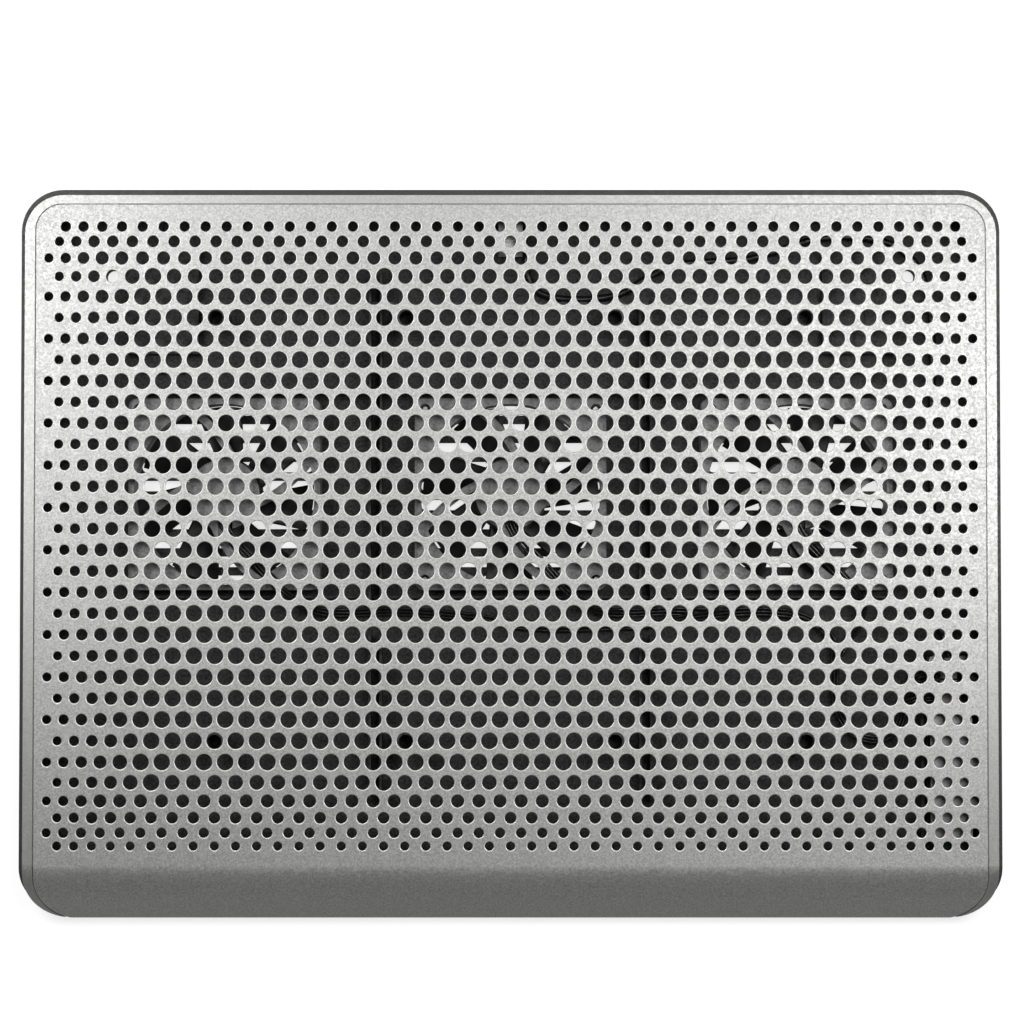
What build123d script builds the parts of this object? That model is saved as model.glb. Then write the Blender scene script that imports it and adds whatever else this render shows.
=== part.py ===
from build123d import *
import math
import os

# Laptop cooling pad: a perforated sheet-metal top over a moulded tray with three 80 mm fans.
# Millimetres. +X right, +Y to the rear, +Z up, origin under the middle of the pad on the desk.

# ---------------------------------------------------------------- overall case
HALF_WIDTH = 204.6          # tray, at its sides
REAR_Y = 152.4              # tray, at its rear
FRONT_Y = -152.4            # lowest edge of the rolled front lip
TOP_Z = 26.0                # flat part of the top plate
FOOT_HEIGHT = 2.5
FLOOR_THICK = 2.0
FLOOR_TOP = FOOT_HEIGHT + FLOOR_THICK
WALL = 2.5
RIM_Z = 20.0                # where the top frame sits on the tray
PLINTH_TOP = 6.2            # the tray runs on under the lip up to here
TRAY_REAR_R = 17.5
TRAY_FRONT_R = 20.0
LIP_OVERHANG = 1.5

# ---------------------------------------------------------------- top plate and its frame
PLATE_THICK = 1.0
PLATE_HALF = 197.8
PLATE_REAR = 145.6
PLATE_REAR_R = 11.0
PLATE_FRONT_R = 19.4
PLATE_CORNER_END = -153.4   # where the large front corners would end if the lip went that far
GROOVE = 0.35
BEZEL_HALF = 202.3
BEZEL_REAR = 149.4
BEZEL_REAR_R = 16.0
BEZEL_FRONT_R = 19.5
BEZEL_DEPTH = 6.0
WALL_DEPTH = BEZEL_DEPTH + 0.1      # the front wall follows the roll this deep under the lip
LEDGE = 2.2                 # the plate rests on this much of the frame
FRONT_RAIL_Y = -141.4       # the frame carries the lip in front of this line
ROLL_START_Y = -129.4       # the plate is flat behind this line
ROLL_RADIUS = 23.6
ROLL_ANGLE = 77.0

# ---------------------------------------------------------------- perforation
COLUMN_PITCH = 8.765
ROW_PITCH = 8.8
HOLE_R = 3.45
HOLE_SHRINK = 0.888         # each step towards the edge is this much smaller
EDGE_STEPS = 5              # smaller and closer holes in this many steps
COLUMN_SQUEEZE = 0.0455     # the pitch closes up by this share for each step, across
COLUMN_EASE = 0.0266
ROW_SQUEEZE = 0.083         # and by this share from front to rear
ROW_EASE = 0.038
HOLES_IN_LONG_ROW = 46
ROWS = 32
REAR_ROW_Y = 136.3
FULL_SIZE_ROWS = (3, 27)    # these rows have four holes of the full size
FULL_SIZE_COLUMNS = (5, 16)

# ---------------------------------------------------------------- fans
FAN_SIZE = 80.0
FAN_HEIGHT = 15.0
FAN_X = 119.6
FAN_Y = 24.9
FAN_HOLE = 35.75
FAN_BORE_R = 37.75
FAN_DUCT_R = 39.6
FLANGE = 3.5
FAN_HOLE_R = 2.15
HUB_R = 14.7
HUB_THICK = 1.8
STRUT_WIDTH = 3.4
STRUT_THICK = 2.3
STRUT_HUB_ANGLE = 68.0      # each strut leaves the hub here
STRUT_RIM_ANGLE = 111.7     # and meets the duct here
STRUT_BULGE = 2.2
CUP_R = 15.5
CUP_WALL = 1.0
CUP_BOTTOM = 0.8
CUP_RIM = 11.0
MAGNET_R = 14.5
MAGNET_THICK = 1.6
SHAFT_R = 1.5
SHAFT_PLAY = 0.03
BEARING_R = 3.0
BEARING_TUBE_R = 4.0
STATOR_R = 12.2
BLADES = 7
BLADE_TIP_R = 36.9
BLADE_THICK = 1.3
BLADE_ROOT_CHORD = 13.5
BLADE_TIP_CHORD = 23.0
BLADE_Z = 6.3
FAN_CENTRES = {"left": -FAN_X, "centre": 0.0, "right": FAN_X}
ROTOR_REST = {"left": 28.0, "centre": -3.0, "right": 12.0}     # where each rotor happens to stand

# ---------------------------------------------------------------- grille, ribs and posts of the tray
SLOT_PITCH = 8.0
SLOT_WIDTH = 4.4
SLOTS = 10
GRILLE_R = 38.0
RIB = 1.2
LONG_RIBS_X = (54.3, 58.9)
LONG_RIB_Y = (-103.0, 118.0)
LONG_RIB_TOP = 16.0
CROSS_RIBS = (              # from X, to X, Y and top
    (-144.0, 149.0, 104.8, 14.0),
    (-158.0, 154.0, 68.0, 14.0),
    (-162.0, 162.0, -18.6, 8.5),
)
BOARD_WALL_X = (171.2, 172.8)
BOARD_WALL_Y = (-136.0, -38.0)
BOARD_WALL_TOP = 17.0
POST_X = (43.5, 122.9)
POST_Y = (98.3, -78.1)
POST_R = 4.5
POST_BORE_R = 3.0
VENT_X = 167.6
VENT_Y = 117.1
VENT_R = 3.0
OUTLET_X = (42.0, 88.0)     # air outlets in the rear wall, on each side of the inlet
OUTLET_Z = (9.0, 15.0)
CASE_SCREW_SIDE = (196.2, (112.0, 5.0, -125.0))
CASE_SCREW_REAR = ((-100.0, -30.0, 30.0, 100.0), 144.4)
SCREW_BOSS_TOP = 8.4
FRAME_POST_R = 3.0
CASE_SCREW_PILOT_R = 1.3

# ---------------------------------------------------------------- socket board on the right
BOARD_X = (174.5, 192.5)
BOARD_Y = (-134.0, -42.0)
BOARD_Z = 9.0
BOARD_THICK = 1.6
BOARD_HOLES = ((177.5, -44.8), (189.7, -44.8), (177.5, -131.0), (189.5, -128.0))
SHIELD_Y = (-119.0, -64.0)
SHIELD_Z = 18.5
SHEET = 0.5
USB_Y = (-108.0, -88.0)
USB_WIDTH = 13.1
USB_HEIGHT = 5.7
USB_SHEET = 0.4
USB_X = (186.5, 203.8)
SWITCH_Y = -53.6
SWITCH_TRAVEL = 3.0
SWITCH_FACE_X = HALF_WIDTH - 1.2
LED_X = 181.0
LED_Y = -151.0
LIGHT_PIPE_R = 1.0
LIGHT_PIPE_PLAY = 0.1

# ---------------------------------------------------------------- power inlet at the rear
INLET_WIDTH = 11.0
INLET_HEIGHT = 9.0
INLET_Y = (138.4, 152.0)
INLET_BORE_R = 3.2
INLET_SCREW_Y = 130.3

# ---------------------------------------------------------------- folding rear legs
LEG_X = 146.5               # middle of each leg
LEG_WIDTH = 26.0
LEG_AXIS_Y = 124.0
LEG_AXIS_Z = 5.5
LEG_LENGTH = 36.0
LEG_THICK = 5.0
TONGUE_HALF = 1.4           # half the thickness of the tongue inside the rubber shoe
LEG_PIN_R = 1.25
LEG_PLAY = 0.05
LEG_GAP = 0.5
POCKET_WALL = 1.6
POCKET_FRONT_Y = LEG_AXIS_Y - LEG_LENGTH - 2.0
POCKET_REAR_Y = LEG_AXIS_Y + LEG_THICK / 2 + LEG_GAP
POCKET_TOP = LEG_AXIS_Z + LEG_THICK / 2 + LEG_GAP

# ---------------------------------------------------------------- feet and wires
FOOT_LENGTH = 26.0
FOOT_WIDTH = 9.0
FOOT_RECESS = 0.6
FOOT_X = 150.0
FOOT_FRONT_Y = -136.0
FOOT_REAR_Y = 139.5
WIRE_R = 0.6
WIRE_PITCH = 1.35
POWER_CABLE_R = 1.5
LAYER = 1.45                # the leads lie this far above each other in their bundle
CONNECTOR_X = 180.0
CONNECTOR_Y = (-60.2, -55.0, -49.8, -46.9)
BIG = 500.0
WIRE_GAPS = (               # the ribs are cut away here, as boxes from low to high X, Y and Z
    (-66.0, 66.0, -34.0, -20.0, FLOOR_TOP + 0.3, BIG),
    (50.0, 66.0, 106.5, BIG, FLOOR_TOP + 0.3, BIG),
    (170.0, 174.0, -63.0, -46.0, FLOOR_TOP + 2.0, BIG),
)


# ================================================================ helpers
def plan(half, rear, front, rear_r, front_r):
    """Flat outline of the case with one radius at the rear corners and one at the front."""
    outline = Pos(0, (rear + front) / 2) * Rectangle(2 * half, rear - front)
    middle = (rear + front) / 2
    rear_corners = outline.vertices().filter_by(lambda v: v.Y > middle)
    outline = fillet(rear_corners, rear_r)
    sharp = [v for v in outline.vertices() if abs(v.Y - front) < 0.001]
    return fillet(sharp, front_r)


def prism(outline, z0, z1):
    """The outline, extruded between two heights."""
    return extrude(Pos(0, 0, z0) * outline, amount=z1 - z0)


def block(x0, x1, y0, y1, z0, z1):
    """A box between two corners."""
    middle = Pos((x0 + x1) / 2, (y0 + y1) / 2, (z0 + z1) / 2)
    return middle * Box(x1 - x0, y1 - y0, z1 - z0)


def rod(x, y, z0, z1, radius):
    """An upright cylinder."""
    return Pos(x, y, (z0 + z1) / 2) * Cylinder(radius, z1 - z0)


def tube(x, y, z0, z1, outer, inner):
    """An upright tube."""
    return rod(x, y, z0, z1, outer) - rod(x, y, z0, z1, inner)


def roll_point(depth, angle):
    """A point in Y and Z on the rolled front, at a depth under the outer surface."""
    radius = ROLL_RADIUS - depth
    y = ROLL_START_Y - radius * math.sin(math.radians(angle))
    z = TOP_Z - ROLL_RADIUS + radius * math.cos(math.radians(angle))
    return (y, z)


def roll_arc(depth):
    """The rolled front's arc at a depth, from the flat part down to the lip's edge."""
    return ThreePointArc(*(roll_point(depth, ROLL_ANGLE * share) for share in (0, 0.5, 1)))


def rolled_band(top_depth, bottom_depth, rear=REAR_Y + 5):
    """A sheet that is flat on top and rolls down at the front, between two depths."""
    arcs = [roll_arc(top_depth), roll_arc(bottom_depth)]
    lip_end = Line(roll_point(top_depth, ROLL_ANGLE), roll_point(bottom_depth, ROLL_ANGLE))
    flats = [Line((rear, TOP_Z - d), roll_point(d, 0)) for d in (top_depth, bottom_depth)]
    rear_end = Line((rear, TOP_Z - top_depth), (rear, TOP_Z - bottom_depth))
    section = make_face(Curve() + [*arcs, lip_end, *flats, rear_end])
    return extrude(Plane.YZ * section, amount=HALF_WIDTH + 5, both=True)


def under_roll(depth, bottom=-5.0):
    """Everything under the rolled surface, from a depth down."""
    rear = REAR_Y + 5
    foot = roll_point(depth, ROLL_ANGLE)
    edges = [
        roll_arc(depth),
        Polyline(foot, (foot[0], bottom), (rear, bottom), (rear, TOP_Z - depth), roll_point(depth, 0)),
    ]
    section = make_face(Curve() + edges)
    return extrude(Plane.YZ * section, amount=HALF_WIDTH + 5, both=True)


def phillips_screw(head_r, head_height, shank_r, length):
    """A screw with its head's outer face at Z = 0, pointing up."""
    screw = rod(0, 0, 0, head_height, head_r) + rod(0, 0, head_height, length, shank_r)
    screw = chamfer(screw.edges().sort_by(Axis.Z)[-1], shank_r * 0.4)
    slot = Pos(0, 0, 0) * Box(head_r * 1.2, head_r * 0.28, head_height * 0.9)
    return screw - slot - Rot(0, 0, 90) * slot


# ================================================================ top plate
def edge_gap(level, pitch, squeeze, ease):
    """The distance from a hole of one level to the next one inwards."""
    return pitch * (1 - squeeze * (EDGE_STEPS - level) + ease)


def column_places(long_row):
    """X and level of each hole of a row."""
    half = HOLES_IN_LONG_ROW // 2
    x = -COLUMN_PITCH / 2 - COLUMN_PITCH * (half - 1 - EDGE_STEPS)
    xs = [x + COLUMN_PITCH * i for i in range(half - EDGE_STEPS)]
    for level in reversed(range(EDGE_STEPS)):
        xs.insert(0, xs[0] - edge_gap(level, COLUMN_PITCH, COLUMN_SQUEEZE, COLUMN_EASE))
    left = [(x, min(i, EDGE_STEPS), i) for i, x in enumerate(xs)]
    if long_row:
        return left + [(-x, level, i) for x, level, i in reversed(left)]
    shifted = [(x + COLUMN_PITCH / 2, level, i) for x, level, i in left]
    return shifted + [(-x, level, i) for x, level, i in reversed(shifted[:-1])]


def row_places():
    """Y and level of each row, from the rear."""
    rows = []
    y = REAR_ROW_Y
    for row in range(ROWS):
        level = min(row + 1, ROWS - 1 - row, EDGE_STEPS)
        rows.append((y, level))
        gap_level = min(level, min(row + 2, ROWS - 2 - row, EDGE_STEPS))
        y -= ROW_PITCH if gap_level == EDGE_STEPS else edge_gap(gap_level, ROW_PITCH, ROW_SQUEEZE, ROW_EASE)
    return rows


def perforation():
    """Centre and radius of every hole of the plate."""
    holes = []
    for row, (y, row_level) in enumerate(row_places()):
        columns = column_places(long_row=row % 2 == 0)
        if row == 0:
            columns = columns[1:-1]
        for x, column_level, index in columns:
            level = min(row_level, column_level)
            if row in FULL_SIZE_ROWS and index in FULL_SIZE_COLUMNS:
                level = EDGE_STEPS
            holes.append((x, y, HOLE_R * HOLE_SHRINK ** (EDGE_STEPS - level)))
    return holes


def plate_outline(grow=0.0):
    """The plate's outline; the front corners run on past the lip's edge."""
    return plan(PLATE_HALF + grow, PLATE_REAR + grow, PLATE_CORNER_END - grow,
                PLATE_REAR_R + grow, PLATE_FRONT_R + grow)


def led_bore(radius, length):
    """A bore square to the lip, where the power light shows."""
    angle = math.degrees(math.asin((ROLL_START_Y - LED_Y) / ROLL_RADIUS))
    y, z = roll_point(0, angle)
    return Pos(LED_X, y, z) * Rot(angle, 0, 0) * Pos(0, 0, -length / 2) * Cylinder(radius, length)


def make_top_plate():
    """Flat, perforated part of the top sheet."""
    flat = plate_outline() & block(-BIG, BIG, ROLL_START_Y, BIG, -1, 1)
    rim = flat.faces()[0].outer_wire()
    circles = [Pos(x, y) * Edge.make_circle(r) for x, y, r in perforation()]
    sheet = Face(rim, [Wire([c]) for c in circles])
    return extrude(Pos(0, 0, TOP_Z - PLATE_THICK) * sheet, amount=PLATE_THICK, dir=(0, 0, 1))


def make_front_lip():
    """Front of the same sheet, rolled down, with the hole of the power light."""
    lip = rolled_band(0, PLATE_THICK) & prism(plate_outline(), 0, TOP_Z + 1)
    lip = lip & block(-BIG, BIG, -BIG, ROLL_START_Y, -1, TOP_Z + 1)
    return lip - led_bore(LIGHT_PIPE_R + LIGHT_PIPE_PLAY, 4)


def frame_screw_post(x, y):
    """Hollow post of the frame that takes one case screw."""
    bottom = SCREW_BOSS_TOP + 0.1
    return tube(x, y, bottom, RIM_Z + 1, FRAME_POST_R, CASE_SCREW_PILOT_R)


def make_top_frame():
    """Silver rim round the plate, with the ledge and front rail that carry it."""
    bezel = plan(BEZEL_HALF, BEZEL_REAR, FRONT_Y, BEZEL_REAR_R, BEZEL_FRONT_R)
    full = prism(bezel, 0, TOP_Z + 1)
    strip = full - prism(plate_outline(GROOVE), -1, TOP_Z + 2)
    strip = strip & rolled_band(0, BEZEL_DEPTH)
    opening = plan(PLATE_HALF - LEDGE, PLATE_REAR - LEDGE, FRONT_RAIL_Y, PLATE_REAR_R - LEDGE, 8.0)
    ledge = full - prism(opening, -1, TOP_Z + 2)
    ledge = ledge & rolled_band(PLATE_THICK, BEZEL_DEPTH)
    frame = strip + ledge
    for x, y in case_screw_places():
        frame += frame_screw_post(x, y)
        frame -= rod(x, y, SCREW_BOSS_TOP, RIM_Z, CASE_SCREW_PILOT_R)
    return frame - led_bore(LIGHT_PIPE_R + LIGHT_PIPE_PLAY, 12)


# ================================================================ tray
def case_screw_places():
    """X and Y of the screws that hold the frame on the tray."""
    side_x, side_ys = CASE_SCREW_SIDE
    rear_xs, rear_y = CASE_SCREW_REAR
    return [(s * side_x, y) for s in (-1, 1) for y in side_ys] + [(x, rear_y) for x in rear_xs]


def fan_screw_places():
    """X and Y of the screws that hold the fans."""
    corners = [(sx * FAN_HOLE, sy * FAN_HOLE) for sx in (-1, 1) for sy in (-1, 1)]
    return [(cx + x, FAN_Y + y) for cx in FAN_CENTRES.values() for x, y in corners]


def intake_slots(fan_x):
    """Slots of one intake grille, cut off at its round edge."""
    first = -SLOT_PITCH * (SLOTS - 1) / 2
    cutter = Part()
    for i in range(SLOTS):
        y = first + SLOT_PITCH * i
        half_chord = math.sqrt(GRILLE_R ** 2 - y ** 2)
        slot = extrude(SlotOverall(2 * half_chord, SLOT_WIDTH), amount=FLOOR_THICK + 2)
        cutter += Pos(fan_x, FAN_Y + y, FOOT_HEIGHT - 1) * slot
    return cutter


def post_places():
    """X and Y of the posts that hold the plate up."""
    return [(side * x, y) for x in POST_X for y in POST_Y for side in (-1, 1)]


def tray_outline(inset=0.0):
    """The tray's outline, moved inwards by a distance."""
    return plan(HALF_WIDTH - inset, REAR_Y - inset, FRONT_Y + LIP_OVERHANG + inset,
                TRAY_REAR_R - inset, TRAY_FRONT_R - inset)


def leg_pocket_housing(side):
    """Walls and roof over a folded leg inside the tray, and the cover of its finger gap."""
    middle = side * LEG_X
    x0 = middle - LEG_WIDTH / 2 - LEG_GAP
    x1 = middle + LEG_WIDTH / 2 + LEG_GAP
    y0 = POCKET_FRONT_Y - POCKET_WALL
    y1 = POCKET_REAR_Y + POCKET_WALL
    z = FLOOR_TOP
    return [
        block(x0 - POCKET_WALL, x1 + POCKET_WALL, y0, y1, POCKET_TOP, POCKET_TOP + POCKET_WALL),
        block(x0 - POCKET_WALL, x0, y0, y1, z, POCKET_TOP),
        block(x1, x1 + POCKET_WALL, y0, y1, z, POCKET_TOP),
        block(x0, x1, y0, POCKET_FRONT_Y, z, POCKET_TOP),
        block(x0, x1, POCKET_REAR_Y, y1, z, POCKET_TOP),
        block(middle - 8.5, middle + 8.5, POCKET_FRONT_Y - 9.5, y0, z, z + 3),
    ]


def leg_pocket_hollow(side):
    """Space for a folded leg, for a finger at its end and for its pin."""
    x0 = side * LEG_X - LEG_WIDTH / 2 - LEG_GAP
    x1 = side * LEG_X + LEG_WIDTH / 2 + LEG_GAP
    middle = side * LEG_X
    hollow = block(x0, x1, POCKET_FRONT_Y, POCKET_REAR_Y, 0, POCKET_TOP)
    finger = block(middle - 7, middle + 7, POCKET_FRONT_Y - 8, POCKET_FRONT_Y + 1, 0, FLOOR_TOP + 1.5)
    pin_length = x1 - x0 + 2 * POCKET_WALL
    pin = Pos(middle, LEG_AXIS_Y, LEG_AXIS_Z) * Rot(0, 90, 0) * Cylinder(LEG_PIN_R, pin_length)
    return hollow + finger + pin


def foot_outline(y):
    """The two round-ended feet of one row."""
    pads = [Pos(s * FOOT_X, y) * SlotOverall(FOOT_LENGTH, FOOT_WIDTH) for s in (-1, 1)]
    return pads[0] + pads[1]


def screw_holes():
    """Holes and head recesses of the fan screws and case screws, from below."""
    cut = Part()
    for x, y in fan_screw_places():
        cut += rod(x, y, 0, FOOT_HEIGHT + 1.2, 3.4) + rod(x, y, 0, FLOOR_TOP + 1, 1.9)
    for x, y in case_screw_places():
        cut += rod(x, y, 0, FOOT_HEIGHT + 2.6, 3.0) + rod(x, y, 0, SCREW_BOSS_TOP + 1, 1.5)
    return cut


def side_openings():
    """Openings for sockets, switch, power inlet, light pipe and the air outlets at the rear."""
    inner = HALF_WIDTH - 9
    socket_z = BOARD_Z + BOARD_THICK
    cut = Part()
    for y in USB_Y:
        half = USB_WIDTH / 2 + 0.1
        cut += block(inner, HALF_WIDTH + 1, y - half, y + half, socket_z - 0.1, socket_z + USB_HEIGHT + 0.1)
    cut += block(SWITCH_FACE_X, HALF_WIDTH + 1, SWITCH_Y - 6, SWITCH_Y + 6, 9.5, 15.5)
    cut += block(inner, HALF_WIDTH, SWITCH_Y - 4, SWITCH_Y + 4, 11.0, 14.0)
    half = INLET_WIDTH / 2 + 0.1
    cut += block(-half, half, REAR_Y - 7, REAR_Y + 1, FLOOR_TOP + 1, FLOOR_TOP + 1.2 + INLET_HEIGHT)
    cut += block(OUTLET_X[0], OUTLET_X[1], REAR_Y - 7, REAR_Y + 1, *OUTLET_Z)
    cut += block(-OUTLET_X[1], -OUTLET_X[0], REAR_Y - 7, REAR_Y + 1, *OUTLET_Z)
    return cut + led_bore(LIGHT_PIPE_R + LIGHT_PIPE_PLAY, 20)


def tray_hollow():
    """Everything inside the tray's wall, from its underside up."""
    hollow = prism(tray_outline(WALL), 0, RIM_Z + 5)
    behind_roll = block(-BIG, BIG, ROLL_START_Y - 3, BIG, 0, BIG)
    return (hollow & under_roll(WALL_DEPTH + WALL)) + (hollow & behind_roll)


def make_shell_walls():
    """Dark outer wall of the tray; its front curves in under the lip."""
    body = prism(tray_outline(), FOOT_HEIGHT, RIM_Z)
    plinth = block(-BIG, BIG, -BIG, BIG, 0, PLINTH_TOP)
    body = (body & under_roll(WALL_DEPTH)) + (body & plinth)
    body = chamfer(body.edges().group_by(Axis.Z)[0], 0.8)
    return body - tray_hollow() - side_openings()


def make_shell_floor():
    """Floor of the tray, with intake grilles, vents, foot recesses and the mouths of the leg pockets."""
    floor = tray_hollow() & block(-BIG, BIG, -BIG, BIG, FOOT_HEIGHT, FLOOR_TOP)
    for x in FAN_CENTRES.values():
        floor -= intake_slots(x)
    for side in (-1, 1):
        floor -= leg_pocket_hollow(side)
        floor -= rod(side * VENT_X, VENT_Y, 0, FLOOR_TOP + 1, VENT_R)
    for y in (FOOT_FRONT_Y, FOOT_REAR_Y):
        floor -= prism(foot_outline(y), 0, FOOT_HEIGHT + FOOT_RECESS)
    return floor - screw_holes()


def make_shell_posts():
    """Posts, screw bosses, the inlet's seat and the leg housings, all standing on the floor."""
    posts = Part()
    for x, y in post_places():
        posts += rod(x, y, FLOOR_TOP, TOP_Z - PLATE_THICK, POST_R)
        posts -= rod(x, y, FLOOR_TOP + 2, TOP_Z, POST_BORE_R)
    for x, y in case_screw_places():
        posts += rod(x, y, FLOOR_TOP, SCREW_BOSS_TOP, 4.0)
    for x, y in BOARD_HOLES:
        posts += rod(x, y, FLOOR_TOP, BOARD_Z, 2.6)
        posts -= rod(x, y, FLOOR_TOP + 0.5, BOARD_Z + 1, 0.9)
    posts += block(-5.2, 5.2, INLET_SCREW_Y - 4.6, REAR_Y - WALL, FLOOR_TOP, FLOOR_TOP + 1)
    posts += rod(0, INLET_SCREW_Y, FLOOR_TOP, FLOOR_TOP + 9, 4.0)
    posts -= rod(0, INLET_SCREW_Y, FLOOR_TOP + 0.5, FLOOR_TOP + 10, 1.1)
    pieces = list((posts - screw_holes()).solids())
    for side in (-1, 1):
        hollow = leg_pocket_hollow(side) + screw_holes()
        for wall in leg_pocket_housing(side):
            pieces += (wall - hollow).solids()
    return Compound(children=pieces)


def make_shell_ribs():
    """Thin upright ribs that stiffen the floor and guide the wires, each cut where it meets another."""
    z = FLOOR_TOP
    long_ribs = []
    for side in (-1, 1):
        for x in LONG_RIBS_X:
            middle = side * x
            long_ribs.append(block(middle - RIB / 2, middle + RIB / 2, *LONG_RIB_Y, z, LONG_RIB_TOP))
    crossings = sum(long_ribs, Part())
    cross_ribs = [block(x0, x1, y, y + RIB, z, top) - crossings for x0, x1, y, top in CROSS_RIBS]
    board_wall = block(*BOARD_WALL_X, *BOARD_WALL_Y, z, BOARD_WALL_TOP) & under_roll(WALL_DEPTH + WALL)
    cut = leg_pocket_hollow(-1) + leg_pocket_hollow(1)
    cut += leg_pocket_housing(-1) + leg_pocket_housing(1)
    for gap in WIRE_GAPS:
        cut += block(*gap)
    pieces = []
    for rib in long_ribs + cross_ribs + [board_wall]:
        pieces += (rib - cut).solids()
    return Compound(children=pieces)


# ================================================================ fans, modelled about their own centre
def fan_strut():
    """A curved strut from the motor disc to the duct."""
    inner = Vector(HUB_R - 2, 0).rotate(Axis.Z, STRUT_HUB_ANGLE)
    outer = Vector(FAN_BORE_R + 0.8, 0).rotate(Axis.Z, STRUT_RIM_ANGLE)
    chord = (outer - inner).normalized()
    middle = (inner + outer) / 2 + Vector(chord.Y, -chord.X) * STRUT_BULGE
    arc = ThreePointArc(inner, middle, outer)
    strut = extrude(SlotArc(arc, STRUT_WIDTH), amount=STRUT_THICK)
    return Pos(0, 0, FAN_HEIGHT - STRUT_THICK) * strut


def make_fan_frame():
    """Square frame with the duct, motor disc, struts and bearing tube."""
    square = extrude(RectangleRounded(FAN_SIZE, FAN_SIZE, 3.5), amount=FLANGE)
    frame = square + Pos(0, 0, FAN_HEIGHT - FLANGE) * square + rod(0, 0, 0, FAN_HEIGHT, FAN_DUCT_R)
    frame -= rod(0, 0, -1, FAN_HEIGHT + 1, FAN_BORE_R)
    for sx in (-1, 1):
        for sy in (-1, 1):
            frame -= rod(sx * FAN_HOLE, sy * FAN_HOLE, -1, FAN_HEIGHT + 1, FAN_HOLE_R)
    frame += rod(0, 0, FAN_HEIGHT - HUB_THICK, FAN_HEIGHT, HUB_R)
    strut = fan_strut()
    for i in range(4):
        frame += Rot(0, 0, 90 * i) * strut
    frame += rod(0, 0, 4.6, FAN_HEIGHT - HUB_THICK + 0.1, BEARING_TUBE_R)
    frame -= rod(0, 0, 4.0, FAN_HEIGHT - HUB_THICK, BEARING_R)
    gully = Pos(19.0, -35.0, FAN_HEIGHT - 1.6) * Rot(0, 0, -47) * Box(24, 4.8, 3.4)
    hub_notch = Pos(0.5, -HUB_R, FAN_HEIGHT - 0.8) * Box(6, 7, 2.2)
    return frame - gully - hub_notch


def blade_section(radius, angle, chord, pitch_angle, camber):
    """One thin curved section of a blade, square to a radius."""
    half = chord / 2
    t = BLADE_THICK / 2
    upper = ThreePointArc((-half, t), (0, camber + t), (half, t))
    lower = ThreePointArc((-half, -t), (0, camber - t), (half, -t))
    ends = [Line((-half, t), (-half, -t)), Line((half, t), (half, -t))]
    face = make_face(Curve() + [upper, lower, *ends])
    place = Rot(0, 0, angle) * Pos(radius, 0, BLADE_Z) * Rot(0, 90, 0) * Rot(0, 0, 90 - pitch_angle)
    return place * face


def fan_blade():
    """A twisted blade between the cup and the duct."""
    root = blade_section(CUP_R - 3.5, 0, BLADE_ROOT_CHORD, 40, 1.6)
    tip = blade_section(BLADE_TIP_R + 3, 16, BLADE_TIP_CHORD, 22, 2.2)
    blade = loft([root.faces()[0], tip.faces()[0]], ruled=True)
    return (blade & rod(0, 0, 0.9, 11.5, BLADE_TIP_R)) - rod(0, 0, -5, 20, CUP_R - 0.4)


def make_rotor():
    """Cup with its blades; it turns on the shaft."""
    rotor = rod(0, 0, CUP_BOTTOM, CUP_RIM, CUP_R) - rod(0, 0, CUP_BOTTOM + 1.2, CUP_RIM + 1, CUP_R - CUP_WALL)
    rotor = chamfer(rotor.edges().group_by(Axis.Z)[0], 0.6)
    rotor += rod(0, 0, CUP_BOTTOM + 1, 4.2, 3.2)
    rotor -= rod(0, 0, CUP_BOTTOM + 0.4, 5, SHAFT_R)
    blade = fan_blade()
    for i in range(BLADES):
        rotor += Rot(0, 0, 360 * i / BLADES) * blade
    return rotor


def make_magnet():
    """Magnet ring inside the cup."""
    return tube(0, 0, 3.2, CUP_RIM - 0.3, MAGNET_R, MAGNET_R - MAGNET_THICK)


def make_shaft():
    """Steel shaft with the groove for its clip."""
    shaft = rod(0, 0, CUP_BOTTOM + 0.4, 12.8, SHAFT_R)
    shaft = shaft - tube(0, 0, 12.0, 12.4, SHAFT_R + 0.5, SHAFT_R - 0.35)
    return chamfer(shaft.edges().group_by(Axis.Z)[-1], 0.25)


def make_bearing():
    """Bronze sleeve in the bearing tube."""
    return tube(0, 0, 4.6, 11.8, BEARING_R, SHAFT_R + SHAFT_PLAY)


def make_stator():
    """Laminated core with four poles."""
    core = rod(0, 0, 5.2, 9.4, 6.2)
    for i in range(4):
        turn = Rot(0, 0, 45 + 90 * i)
        core += turn * block(4, STATOR_R - 0.8, -1.5, 1.5, 5.2, 9.4)
        shoe = tube(0, 0, 5.2, 9.4, STATOR_R, STATOR_R - 1.4)
        core += turn * (shoe & block(0, BIG, -8.6, 8.6, 0, BIG))
    return core - rod(0, 0, 4, 11, BEARING_TUBE_R)


def make_windings():
    """A copper coil round each pole."""
    coils = Part()
    for i in range(4):
        coil = block(6.7, 10.0, -3.4, 3.4, 3.9, 10.7)
        coil = fillet(coil.edges().filter_by(Axis.X), 1.4)
        coil = coil - block(6, 11, -1.55, 1.55, 5.15, 9.45)
        coils += Rot(0, 0, 45 + 90 * i) * coil
    return coils


def make_fan_board():
    """Ring-shaped circuit board under the motor disc."""
    board = tube(0, 0, 11.6, 12.6, 13.6, BEARING_TUBE_R + 0.15)
    parts = Rot(0, 0, -30) * block(7, 10, -1.6, 1.6, 12.5, 13.15)
    return board + parts


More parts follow.
